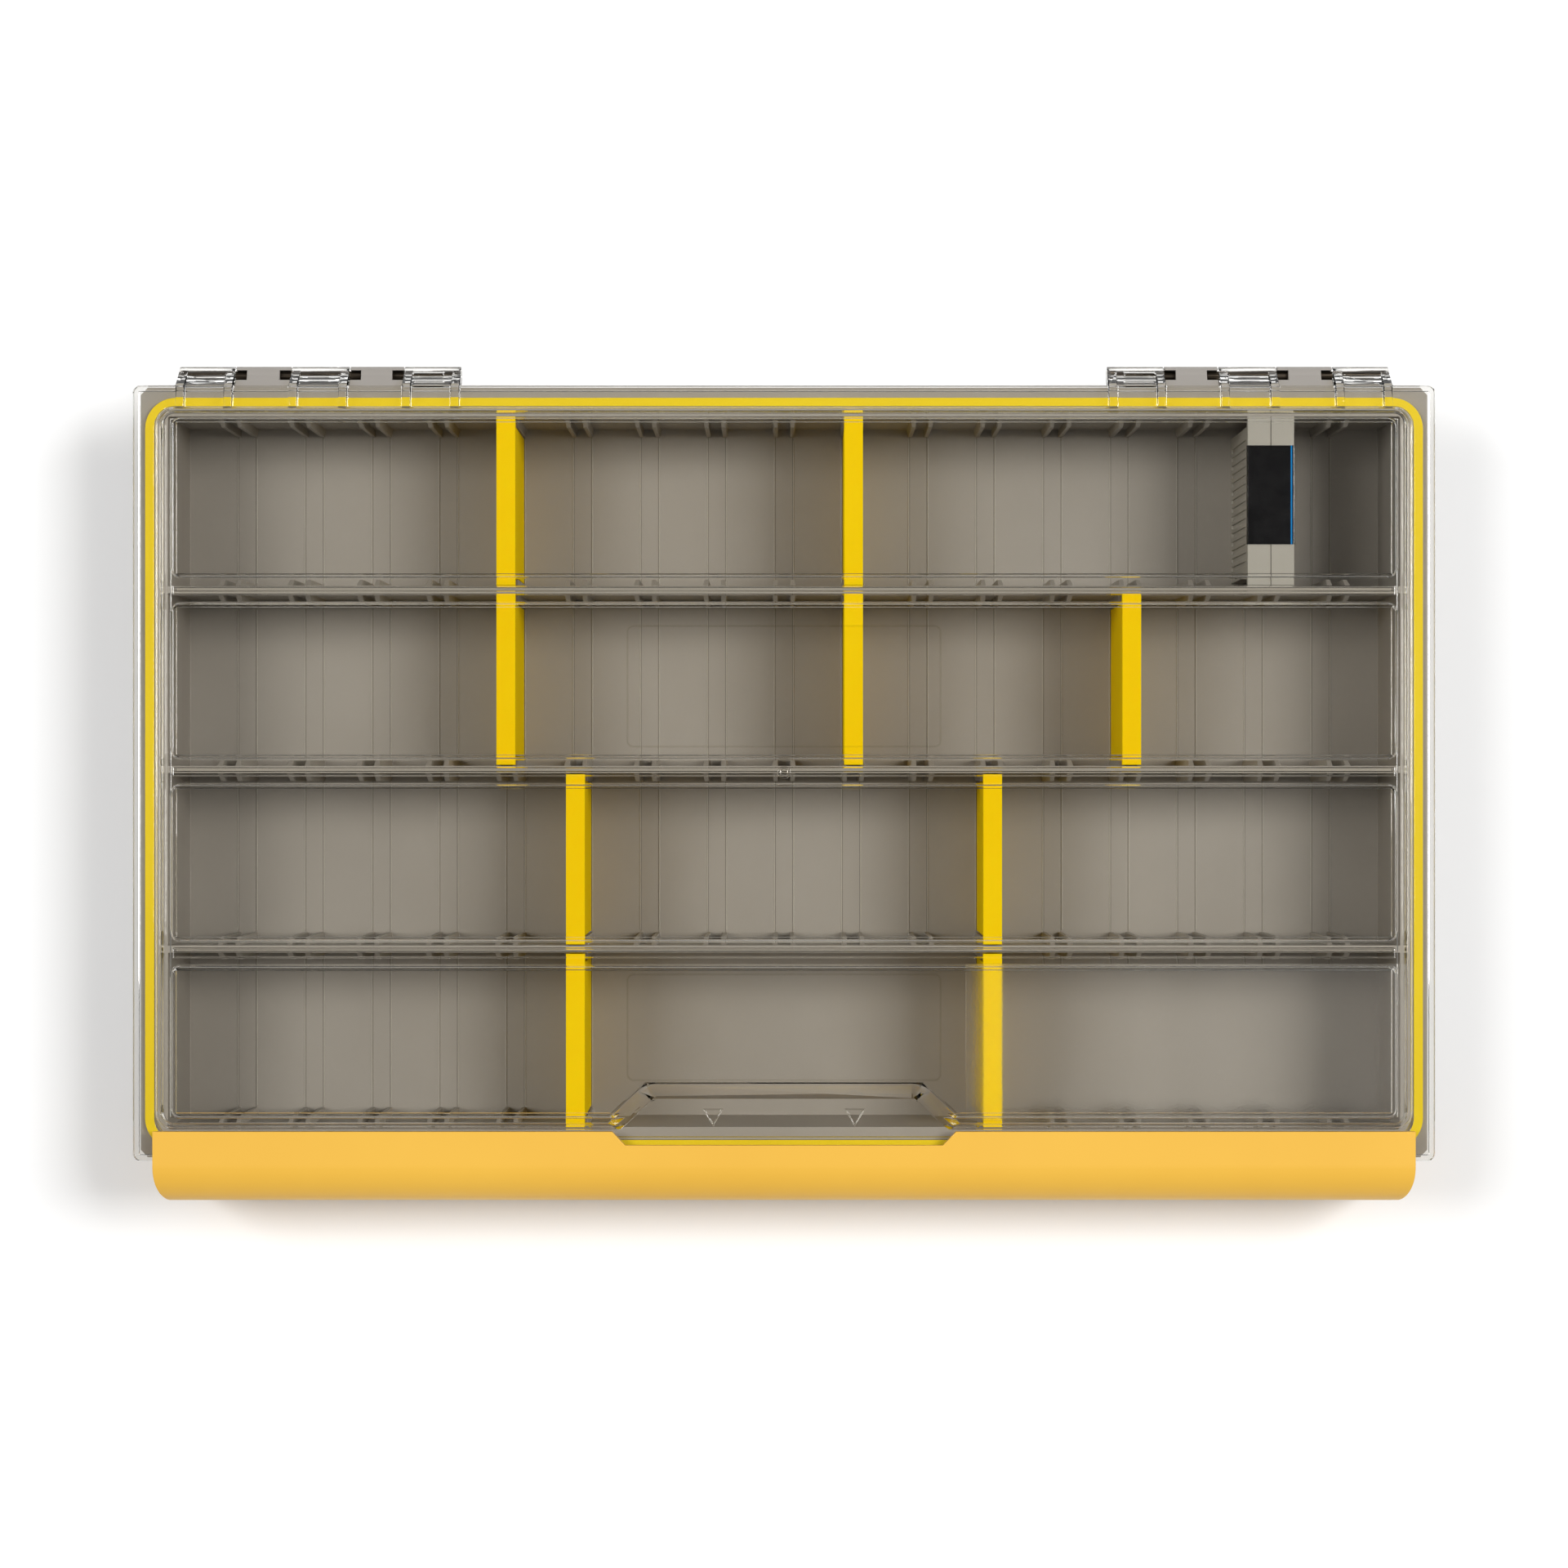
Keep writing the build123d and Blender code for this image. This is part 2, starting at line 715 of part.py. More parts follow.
with BuildPart() as wick_label:
    with BuildSketch(Plane.XZ.offset(-wick_middle - wick_label_length / 2)):
        with Locations((wick_x, divider_top - wick_label_skirt)):
            Rectangle(
                wick_width + 2 * wick_label_thickness,
                wick_label_skirt + wick_label_thickness,
                align=(Align.CENTER, Align.MIN),
            )
            Rectangle(
                wick_width,
                wick_label_skirt,
                align=(Align.CENTER, Align.MIN),
                mode=Mode.SUBTRACT,
            )
    extrude(amount=wick_label_length)


pieces = {
    "base_tray": base_tray.part,
    "lid": lid.part,
    "lid_gasket": lid_gasket.part,
    "front_latch": front_latch.part,
    **pins,
    **dividers,
    "wick_shell_left": make_wick_shell(-1),
    "wick_shell_right": make_wick_shell(1),
    "wick_core": wick_core.part,
    "wick_label": wick_label.part,
}
for name, part in pieces.items():
    part.label = name
    export_step(part, f"parts/{name}.step")
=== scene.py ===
"""The shut compartment box on a pale studio floor, seen straight from above."""

import math

import bpy
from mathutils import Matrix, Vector


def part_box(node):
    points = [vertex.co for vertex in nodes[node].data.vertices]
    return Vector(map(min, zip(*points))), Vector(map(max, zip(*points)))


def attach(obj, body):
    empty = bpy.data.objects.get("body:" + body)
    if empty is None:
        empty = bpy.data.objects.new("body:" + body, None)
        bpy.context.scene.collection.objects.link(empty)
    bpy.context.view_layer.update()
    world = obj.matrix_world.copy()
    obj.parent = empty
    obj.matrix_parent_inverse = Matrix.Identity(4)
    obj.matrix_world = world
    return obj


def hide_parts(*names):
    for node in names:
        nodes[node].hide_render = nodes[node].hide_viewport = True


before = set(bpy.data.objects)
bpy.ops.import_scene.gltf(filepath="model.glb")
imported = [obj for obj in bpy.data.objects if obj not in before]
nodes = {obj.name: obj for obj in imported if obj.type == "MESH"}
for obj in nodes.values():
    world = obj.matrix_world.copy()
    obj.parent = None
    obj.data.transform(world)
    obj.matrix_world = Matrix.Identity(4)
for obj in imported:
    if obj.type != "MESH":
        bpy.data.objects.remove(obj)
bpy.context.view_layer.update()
MM = 0.001

# Camera: straight above the middle of the lid
camera_height = 1.119
camera_lens = 89.5
camera_sensor = 36.0

# Studio: a floor, a soft light high on each side, the right one stronger, and a little fill
floor_half_size = 4.0
floor_drop = 0.05 * MM
floor_tone = 0.95
side_light_distance = 1.6
side_light_back = 0.45
side_light_height = 2.4
side_light_size = 1.1
right_light_power = 56.0
left_light_power = 38.5
top_light_height = 1.9
top_light_size = 1.6
top_light_power = 3.6
horizon_strength = 0.5

# Lid: where its clear moulding is frosted, and its marks
frost_left = 49.9 * MM
frost_right = 170.5 * MM
frost_back = -49.4 * MM
frost_front = -92.4 * MM
frost_lowest = 45.0 * MM

# Tray: the fine ridges on its floor, one each side of every divider slot
slot_pitch = 19.2 * MM
tray_floor = 2.4 * MM
ridge_from_slot = 2.75 * MM
ridge_width = 0.35 * MM
ridge_height = 0.15 * MM
ridge_rounding = 0.1 * MM
ridge_end_room = 2.8 * MM
middle_slot_number = 9
ridge_shade_width = 0.22 * MM
floor_tolerance = 0.1 * MM
last_slot_edge = 157.0 * MM
recess_room_half = 48.0 * MM
recess_room_back = -46.0 * MM

# Each row of compartments: its front and back wall, and the runs of slots as first slot and count
slot_rows = (
    ("row1", 54.6 * MM, 101.4 * MM, ((-8, 15), (8, 1))),
    ("row2", 5.0 * MM, 52.6 * MM, ((-8, 17),)),
    ("row3", -44.6 * MM, 3.0 * MM, ((-8, 17),)),
    ("row4", -94.7 * MM, -46.6 * MM, ((-8, 6), (3, 6))),
)

# Lid: raised marks of the moulding
mark_seat = 0.05 * MM
recess_floor = 45.2 * MM
arrow_from_middle = 19.5 * MM
arrow_middle_y = -91.05 * MM
arrow_radius = 3.23 * MM
arrow_line = 0.4 * MM
arrow_height = 0.45 * MM
gate_y = 3.15 * MM
gate_floor = 48.9 * MM
gate_top = 49.7 * MM
gate_radius = 1.8 * MM
gate_dish = 0.5 * MM
pad_ceiling = 49.2 * MM
frame_half_length = 43.2 * MM
frame_line = 0.5 * MM
frame_height = 0.25 * MM
frame_corner = 1.9 * MM
frame_spans = (("row2", 10.0 * MM, 43.6 * MM), ("row4", -81.5 * MM, -52.0 * MM))

# Rounding of the clear moulding's edges, where its hinge begins, and what counts as sharp, as flat
# and as one point
lid_edge_rounding = 0.25 * MM
hinge_front = 103.5 * MM
sharp_angle = math.radians(35)
flat_angle = math.radians(0.5)
same_point = 0.005 * MM

# Tray: the windows over the pins in its hinge knuckles
hinge_line_y = 113.2 * MM
pin_window_middles = (105.5 * MM, 120.1 * MM, 136.7 * MM, 151.7 * MM)
pin_window_length = 6.0 * MM
pin_window_width = 2.8 * MM
pin_window_low = 39.5 * MM
pin_window_high = 41.5 * MM

# Moisture divider: its film band, the edges of the band's stripe and the line where its halves meet
band_middle_y = 79.8 * MM
band_film = 0.2 * MM
band_fold = 0.4 * MM
stripe_inner_edge = 1.2 * MM
stripe_outer_edge = 0.8 * MM
parting_width = 0.3 * MM

# Each finish from its darker to its lighter tone, and the plain tones
tray_tones = ((0.295, 0.273, 0.248), (0.335, 0.313, 0.288))
# The ridges' tones are the tray's plastic made lighter: a painted highlight
ridge_lit_tones = ((0.36, 0.34, 0.305), (0.42, 0.40, 0.365))
divider_tones = ((0.95, 0.60, 0.004), (0.98, 0.65, 0.006))
latch_tones = ((0.76, 0.425, 0.05), (0.80, 0.46, 0.06))
gasket_tones = ((0.80, 0.58, 0.004), (0.84, 0.63, 0.006))
wick_tones = ((0.325, 0.31, 0.28), (0.37, 0.355, 0.325))
steel_tones = ((0.02, 0.015, 0.01), (0.09, 0.072, 0.055))
fibre_tones = ((0.62, 0.61, 0.57), (0.82, 0.81, 0.77))
# Painted shade along the foot of each floor ridge
ridge_foot_shade_tone = (0.19, 0.17, 0.15)
parting_tone = (0.10, 0.09, 0.08)
band_tone = (0.006, 0.006, 0.007)
stripe_tone = (0.01, 0.22, 0.60)
clear_tone = (0.965, 0.955, 0.925, 1.0)
clear_pass_tone = (0.93, 0.92, 0.89, 1.0)

# Surfaces: soft edges lightened by a painted highlight, light that glows through a divider, the clear
# lid and the pins
soft_edge_width = 0.3 * MM
# Painted highlight along every moulded edge: how much lighter its tone is, and how strongly it shows
edge_highlight_gain = 1.12
edge_highlight_share = 0.6
moulded_grain_depth = 0.02 * MM
glow_share = 0.3
glow_reach = 2.5 * MM
glow_reach_by_colour = (1.0, 0.6, 0.05)
clear_refraction = 1.49
clear_roughness = 0.025
frost_roughness = 0.2
frost_rise = 1.5
steel_lines_per_metre = (60.0, 5200.0, 5200.0)


# Node groups and small helpers for materials


def add_sockets(group, inputs, outputs):
    """Gives a node group its named sockets: inputs with a starting value, outputs by type."""
    for name, value in inputs.items():
        socket = group.interface.new_socket(name, in_out="INPUT", socket_type="NodeSocketFloat")
        socket.default_value = value
    for name, kind in outputs.items():
        group.interface.new_socket(name, in_out="OUTPUT", socket_type=kind)


def maths(tree, operation, first, second=None, clamp=False):
    """A Math node's output, for two sockets or plain numbers."""
    node = tree.nodes.new("ShaderNodeMath")
    node.operation = operation
    node.use_clamp = clamp
    for socket, value in zip(node.inputs, (first, second)):
        if isinstance(value, bpy.types.NodeSocket):
            tree.links.new(value, socket)
        elif value is not None:
            socket.default_value = value
    return node.outputs[0]


def make_mould_grain():
    """Fine grain of a moulded surface and the slow drift of its tone, in the object's own space."""
    group = bpy.data.node_groups.new("mould grain", "ShaderNodeTree")
    add_sockets(
        group,
        {"Grain per metre": 2500.0, "Depth": 1.0, "Drift per metre": 14.0},
        {"Height": "NodeSocketFloat", "Drift": "NodeSocketFloat"},
    )
    start = group.nodes.new("NodeGroupInput")
    end = group.nodes.new("NodeGroupOutput")
    place = group.nodes.new("ShaderNodeTexCoord")
    grain = group.nodes.new("ShaderNodeTexNoise")
    grain.inputs["Detail"].default_value = 3.0
    drift = group.nodes.new("ShaderNodeTexNoise")
    drift.inputs["Detail"].default_value = 4.0
    drift.inputs["Roughness"].default_value = 0.55
    for noise, scale in ((grain, "Grain per metre"), (drift, "Drift per metre")):
        group.links.new(place.outputs["Object"], noise.inputs["Vector"])
        group.links.new(start.outputs[scale], noise.inputs["Scale"])
    height = maths(group, "MULTIPLY", grain.outputs["Fac"], start.outputs["Depth"])
    group.links.new(height, end.inputs["Height"])
    group.links.new(drift.outputs["Fac"], end.inputs["Drift"])
    return group


mould_grain = make_mould_grain()


def make_soft_edges():
    """The rounding that every moulded edge has, as a normal, and a mask of where the edges lie."""
    group = bpy.data.node_groups.new("soft edges", "ShaderNodeTree")
    add_sockets(
        group,
        {"Width": soft_edge_width},
        {"Normal": "NodeSocketVector", "Edge": "NodeSocketFloat"},
    )
    start = group.nodes.new("NodeGroupInput")
    end = group.nodes.new("NodeGroupOutput")
    rounded = group.nodes.new("ShaderNodeBevel")
    rounded.samples = 8
    group.links.new(start.outputs["Width"], rounded.inputs["Radius"])
    face = group.nodes.new("ShaderNodeNewGeometry").outputs["Normal"]
    turned = group.nodes.new("ShaderNodeVectorMath")
    turned.operation = "DOT_PRODUCT"
    group.links.new(rounded.outputs["Normal"], turned.inputs[0])
    group.links.new(face, turned.inputs[1])
    apart = maths(group, "SUBTRACT", 1.0, turned.outputs["Value"])
    group.links.new(rounded.outputs["Normal"], end.inputs["Normal"])
    group.links.new(maths(group, "MULTIPLY", apart, 4.0, clamp=True), end.inputs["Edge"])
    return group


soft_edges = make_soft_edges()


def new_material(name):
    """An empty node material with its Principled shader joined to the output."""
    material = bpy.data.materials.new(name)
    material.use_nodes = True
    tree = material.node_tree
    return material, tree, tree.nodes["Principled BSDF"]


def blend_colours(tree, amount, first, second):
    """A colour between two, by a socket from 0 to 1."""
    mix = tree.nodes.new("ShaderNodeMix")
    mix.data_type = "RGBA"
    colours = [socket for socket in mix.inputs if socket.type == "RGBA"]
    for socket, value in zip(colours, (first, second)):
        if isinstance(value, bpy.types.NodeSocket):
            tree.links.new(value, socket)
        else:
            socket.default_value = (*value, 1.0)
    tree.links.new(amount, mix.inputs["Factor"])
    return next(socket for socket in mix.outputs if socket.type == "RGBA")


def value_range(tree, source, low, high, start=0.3, end=0.7):
    """A socket mapped from start..end to low..high."""
    node = tree.nodes.new("ShaderNodeMapRange")
    node.inputs["From Min"].default_value = start
    node.inputs["From Max"].default_value = end
    node.inputs["To Min"].default_value = low
    node.inputs["To Max"].default_value = high
    tree.links.new(source, node.inputs["Value"])
    return node.outputs["Result"]


def add_bump(tree, shader, height, distance, strength=0.5):
    """Feeds a height into the shader's normal and returns the bump's node."""
    bump = tree.nodes.new("ShaderNodeBump")
    bump.inputs["Distance"].default_value = distance
    bump.inputs["Strength"].default_value = strength
    tree.links.new(height, bump.inputs["Height"])
    tree.links.new(bump.outputs["Normal"], shader.inputs["Normal"])
    return bump


def add_soft_edges(tree, bump):
    """Lays a bump over softened edges and gives the mask of the edges."""
    edges = tree.nodes.new("ShaderNodeGroup")
    edges.node_tree = soft_edges
    edges.inputs["Width"].default_value = soft_edge_width
    tree.links.new(edges.outputs["Normal"], bump.inputs["Normal"])
    return edges.outputs["Edge"]


def moulded_plastic(name, dark, light, roughness, specular=0.3, glow=0.0):
    """Opaque moulded plastic: two close tones, an uneven satin finish, edges lightened by a painted
    highlight, and a fine grain.
    """
    material, tree, shader = new_material(name)
    marks = tree.nodes.new("ShaderNodeGroup")
    marks.node_tree = mould_grain
    colour = blend_colours(tree, value_range(tree, marks.outputs["Drift"], 0, 1), dark, light)
    finish = value_range(tree, marks.outputs["Drift"], roughness + 0.04, roughness - 0.04)
    tree.links.new(finish, shader.inputs["Roughness"])
    shader.inputs["Specular IOR Level"].default_value = specular
    shader.inputs["Subsurface Weight"].default_value = glow
    shader.inputs["Subsurface Radius"].default_value = glow_reach_by_colour
    shader.inputs["Subsurface Scale"].default_value = glow_reach
    edge = add_soft_edges(
        tree, add_bump(tree, shader, marks.outputs["Height"], moulded_grain_depth)
    )
    # Painted highlight: the edges are blended towards a lighter tone
    edge_highlight_tone = [min(1.0, tone * edge_highlight_gain) for tone in light]
    colour = blend_colours(tree, maths(tree, "MULTIPLY", edge, edge_highlight_share), colour, edge_highlight_tone)
    tree.links.new(colour, shader.inputs["Base Color"])
    return material


def box_mask(tree, place, low, high):
    """1 inside a box in the object's own space and 0 outside; None leaves a side open."""
    apart = tree.nodes.new("ShaderNodeSeparateXYZ")
    tree.links.new(place, apart.inputs[0])
    inside = None
    for axis in range(3):
        for limit, operation in ((low[axis], "GREATER_THAN"), (high[axis], "LESS_THAN")):
            if limit is None:
                continue
            test = maths(tree, operation, apart.outputs[axis], limit)
            inside = test if inside is None else maths(tree, "MULTIPLY", inside, test)
    return inside


def between(tree, source, low, high):
    """1 where a socket lies between two values and 0 elsewhere."""
    above = maths(tree, "GREATER_THAN", source, low)
    return maths(tree, "MULTIPLY", above, maths(tree, "LESS_THAN", source, high))


def add_line(material, find_line, colour):
    """Lays a tone over a plastic's colour where a mask in the object's space is 1."""
    tree = material.node_tree
    shader = tree.nodes["Principled BSDF"]
    plain = shader.inputs["Base Color"].links[0].from_socket
    place = tree.nodes.new("ShaderNodeTexCoord").outputs["Object"]
    apart = tree.nodes.new("ShaderNodeSeparateXYZ")
    tree.links.new(place, apart.inputs[0])
    toned = blend_colours(tree, find_line(tree, *apart.outputs), plain, colour)
    tree.links.new(toned, shader.inputs["Base Color"])


def painted_shade_at_ridge_feet(tree, x, y, z):
    """1 along the foot of each floor ridge, on the side of its divider slot, where painted shade
    darkens the floor.
    """
    from_slot = maths(tree, "PINGPONG", x, slot_pitch / 2)
    on_floor = between(tree, z, tray_floor - floor_tolerance, tray_floor + floor_tolerance)
    in_rows = maths(tree, "LESS_THAN", maths(tree, "ABSOLUTE", x), last_slot_edge)
    near_recess = maths(
        tree,
        "MULTIPLY",
        maths(tree, "LESS_THAN", maths(tree, "ABSOLUTE", x), recess_room_half),
        maths(tree, "LESS_THAN", y, recess_room_back),
    )
    in_slots = maths(tree, "MULTIPLY", on_floor, in_rows)
    in_slots = maths(tree, "MULTIPLY", in_slots, maths(tree, "SUBTRACT", 1.0, near_recess))
    foot = ridge_from_slot - ridge_width / 2
    shaded = between(tree, from_slot, foot - ridge_shade_width, foot)
    return maths(tree, "MULTIPLY", in_slots, shaded)


def top_parting_line(tree, x, y, z):
    """1 along the line where the moisture divider's halves meet, on its top."""
    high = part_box("wick_shell_left")[1]
    half = parting_width / 2
    on_top = maths(tree, "GREATER_THAN", z, high.z - MM)
    return maths(tree, "MULTIPLY", on_top, between(tree, x, high.x - half, high.x + half))


def clear_plastic():
    """Clear gloss moulding with a warm tint, frosted at the right end of the front row."""
    material, tree, shader = new_material("clear_moulding")
    shader.inputs["Base Color"].default_value = clear_tone
    shader.inputs["Transmission Weight"].default_value = 1.0
    shader.inputs["IOR"].default_value = clear_refraction
    place = tree.nodes.new("ShaderNodeTexCoord").outputs["Object"]
    frost = box_mask(
        tree, place, (frost_left, frost_front, frost_lowest), (frost_right, frost_back, None)
    )
    tree.links.new(
        value_range(tree, frost, clear_roughness, frost_roughness, start=0, end=1),
        shader.inputs["Roughness"],
    )
    grain = tree.nodes.new("ShaderNodeTexNoise")
    grain.inputs["Scale"].default_value = 1900.0
    grain.inputs["Detail"].default_value = 2.0
    tree.links.new(place, grain.inputs["Vector"])
    frosted_grain = maths(tree, "MULTIPLY", grain.outputs["Fac"], frost)
    step = maths(tree, "ADD", frosted_grain, maths(tree, "MULTIPLY", frost, frost_rise))
    add_bump(tree, shader, step, 0.05 * MM, strength=0.6)
    # Lamps and light from matt surfaces pass straight through, so that the inside is evenly lit
    unbent = tree.nodes.new("ShaderNodeBsdfTransparent")
    unbent.inputs["Color"].default_value = clear_pass_tone
    path = tree.nodes.new("ShaderNodeLightPath")
    surface = shader.outputs[0]
    for ray in ("Is Diffuse Ray", "Is Shadow Ray"):
        mix = tree.nodes.new("ShaderNodeMixShader")
        tree.links.new(path.outputs[ray], mix.inputs[0])
        tree.links.new(surface, mix.inputs[1])
        tree.links.new(unbent.outputs[0], mix.inputs[2])
        surface = mix.outputs[0]
    tree.links.new(surface, tree.nodes["Material Output"].inputs["Surface"])
    return material


def drawn_steel():
    """Bare steel wire with fine lines along its length."""
    material, tree, shader = new_material("drawn_steel")
    shader.inputs["Metallic"].default_value = 1.0
    place = tree.nodes.new("ShaderNodeTexCoord").outputs["Object"]
    lay = tree.nodes.new("ShaderNodeMapping")
    lay.inputs["Scale"].default_value = steel_lines_per_metre
    lines = tree.nodes.new("ShaderNodeTexNoise")
    lines.inputs["Scale"].default_value = 1.0
    tree.links.new(place, lay.inputs["Vector"])
    tree.links.new(lay.outputs[0], lines.inputs["Vector"])
    colour = blend_colours(tree, value_range(tree, lines.outputs["Fac"], 0, 1), *steel_tones)
    tree.links.new(colour, shader.inputs["Base Color"])
    tree.links.new(
        value_range(tree, lines.outputs["Fac"], 0.28, 0.5), shader.inputs["Roughness"]
    )
    add_bump(tree, shader, lines.outputs["Fac"], 0.03 * MM)
    return material


def pressed_pad():
    """The moisture divider's core: pale fibre pressed into a block."""
    material, tree, shader = new_material("pressed_fibre")
    place = tree.nodes.new("ShaderNodeTexCoord").outputs["Object"]
    fibre = tree.nodes.new("ShaderNodeTexNoise")
    fibre.inputs["Scale"].default_value = 900.0
    fibre.inputs["Detail"].default_value = 6.0
    tree.links.new(place, fibre.inputs["Vector"])
    colour = blend_colours(tree, fibre.outputs["Fac"], *fibre_tones)
    tree.links.new(colour, shader.inputs["Base Color"])
    shader.inputs["Roughness"].default_value = 0.95
    add_bump(tree, shader, fibre.outputs["Fac"], 0.2 * MM, strength=0.8)
    return material


def printed_band():
    """Black film over the moisture divider's top, with a plain blue stripe along its right edge."""
    material, tree, shader = new_material("printed_band")
    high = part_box("wick_label")[1]
    place = tree.nodes.new("ShaderNodeTexCoord").outputs["Object"]
    apart = tree.nodes.new("ShaderNodeSeparateXYZ")
    tree.links.new(place, apart.inputs[0])
    stripe = between(
        tree, apart.outputs[0], high.x - stripe_inner_edge, high.x - stripe_outer_edge
    )
    colour = blend_colours(tree, stripe, band_tone, stripe_tone)
    tree.links.new(colour, shader.inputs["Base Color"])
    wrinkle = tree.nodes.new("ShaderNodeTexNoise")
    wrinkle.inputs["Scale"].default_value = 180.0
    tree.links.new(place, wrinkle.inputs["Vector"])
    tree.links.new(
        value_range(tree, wrinkle.outputs["Fac"], 0.10, 0.18), shader.inputs["Roughness"]
    )
    add_bump(tree, shader, wrinkle.outputs["Fac"], 0.02 * MM)
    return material


def finish_nodes():
    """Gives every CAD node its finish, chosen by how its name starts."""
    grey = moulded_plastic("tray_plastic", *tray_tones, roughness=0.46)
    # Painted shade: a dark line on the floor at the foot of each ridge
    add_line(grey, painted_shade_at_ridge_feet, ridge_foot_shade_tone)
    yellow = moulded_plastic(
        "divider_plastic", *divider_tones, roughness=0.3, specular=0.0, glow=glow_share
    )
    orange = moulded_plastic("latch_plastic", *latch_tones, roughness=0.42)
    rubber = moulded_plastic("seal_rubber", *gasket_tones, roughness=0.5)
    light_grey = moulded_plastic("wick_plastic", *wick_tones, roughness=0.45)
    add_line(light_grey, top_parting_line, parting_tone)
    steel = drawn_steel()
    finishes = {
        "base_tray": grey,
        "lid_gasket": rubber,
        "lid": clear_plastic(),
        "front_latch": orange,
        "wick_shell": light_grey,
        "wick_core": pressed_pad(),
        "wick_label": printed_band(),
        "divider": yellow,
        "hinge_pin": steel,
        "latch_pin": steel,
    }
    for name, node in nodes.items():
        start = next(key for key in finishes if name.startswith(key))
        node.data.materials.clear()
        node.data.materials.append(finishes[start])


finish_nodes()


# Fine features, each made from one primitive, and finer copies of the lid and the tray


def start_piece(add, **where):
    """Adds a primitive with nothing else selected and opens it for editing."""
    bpy.ops.object.select_all(action="DESELECT")
    add(**where)
    piece = bpy.context.object
    bpy.ops.object.transform_apply(location=False, rotation=True, scale=True)
    bpy.ops.object.mode_set(mode="EDIT")
    bpy.ops.mesh.select_mode(type="FACE")
    return piece


def pick_faces(piece, wanted):
    """Selects the faces whose normal and middle pass a test; called in edit mode."""
    bpy.ops.mesh.select_all(action="DESELECT")
    bpy.ops.object.mode_set(mode="OBJECT")
    for face in piece.data.polygons:
        face.select = wanted(face.normal, face.center)
    bpy.ops.object.mode_set(mode="EDIT")


def end_piece(piece, name, body, material):
    """Closes a piece, puts its place into its mesh and makes it ride on a body."""
    bpy.ops.object.mode_set(mode="OBJECT")
    bpy.ops.object.transform_apply(location=True, rotation=True, scale=True)
    piece.name = name
    piece.data.name = name
    piece.data.materials.clear()
    piece.data.materials.append(material)
    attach(piece, body)


def apply_array(piece, name, count, step):
    """Repeats a piece along X and applies the result."""
    array = piece.modifiers.new(name, "ARRAY")
    array.count = count
    array.use_relative_offset = False
    array.use_constant_offset = True
    array.constant_offset_displace = (step, 0, 0)
    bpy.ops.object.modifier_apply(modifier=name)


def merged_copy(name, piece_name, body):
    """A copy of a CAD node with its triangles joined at their corners, which stands for the node."""
    piece = bpy.data.objects.new(piece_name, nodes[name].data.copy())
    piece.data.name = piece_name
    bpy.context.scene.collection.objects.link(piece)
    bpy.ops.object.select_all(action="DESELECT")
    piece.select_set(True)
    bpy.context.view_layer.objects.active = piece
    bpy.ops.object.mode_set(mode="EDIT")
    bpy.ops.mesh.select_all(action="SELECT")
    bpy.ops.mesh.remove_doubles(threshold=same_point)
    bpy.ops.object.mode_set(mode="OBJECT")
    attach(piece, body)
    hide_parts(name)
    return piece


def make_rounded_lid():
    """The clear moulding with its sharp edges rounded."""
    piece = merged_copy("lid", "clear_lid", "lid")
    bpy.ops.object.mode_set(mode="EDIT")
    pick_faces(piece, lambda normal, centre: centre.y > hinge_front and abs(normal.x) > 0.9)
    bpy.ops.mesh.dissolve_limited(angle_limit=flat_angle)
    bpy.ops.object.mode_set(mode="OBJECT")
    rounding = piece.modifiers.new("rounding", "BEVEL")
    rounding.width = lid_edge_rounding
    rounding.segments = 2
    rounding.limit_method = "ANGLE"
    rounding.angle_limit = sharp_angle
    rounding.use_clamp_overlap = False
    bpy.ops.object.modifier_apply(modifier="rounding")


def make_tray_with_open_windows():
    """The tray with the pin windows of its hinge knuckles open over the pin's whole width."""
    tray = merged_copy("base_tray", "grey_tray", "base")
    for x in (side * middle for side in (-1, 1) for middle in pin_window_middles):
        cutter = start_piece(
            bpy.ops.mesh.primitive_cube_add,
            size=1,
            location=(x, hinge_line_y, (pin_window_low + pin_window_high) / 2),
            scale=(pin_window_length, pin_window_width, pin_window_high - pin_window_low),
        )
        bpy.ops.object.mode_set(mode="OBJECT")
        cut = tray.modifiers.new("pin window", "BOOLEAN")
        cut.operation = "DIFFERENCE"
        cut.solver = "EXACT"
        cut.object = cutter
        bpy.context.view_layer.objects.active = tray
        bpy.ops.object.modifier_apply(modifier="pin window")
        bpy.data.objects.remove(cutter)


def make_floor_ridges(row, front, back, first_slot, count, material):
    """Low rounded ridges on the tray's floor, a pair at each slot of a run."""
    length = back - front - 2 * ridge_end_room
    middle = (first_slot * slot_pitch - ridge_from_slot, (front + back) / 2)
    seat = (ridge_height - mark_seat) / 2
    piece = start_piece(
        bpy.ops.mesh.primitive_cube_add,
        size=1,
        location=(*middle, tray_floor + seat),
        scale=(ridge_width, length, ridge_height + mark_seat),
    )
    pick_faces(piece, lambda normal, centre: normal.z > 0.9)
    bpy.ops.mesh.bevel(offset=ridge_rounding, segments=2, affect="EDGES")
    bpy.ops.object.mode_set(mode="OBJECT")
    apply_array(piece, "pair", 2, 2 * ridge_from_slot)
    apply_array(piece, "slots", count, slot_pitch)
    bpy.ops.object.mode_set(mode="EDIT")
    name = f"floor_ridges_{row}_{first_slot + middle_slot_number}"
    end_piece(piece, name, "base", material)


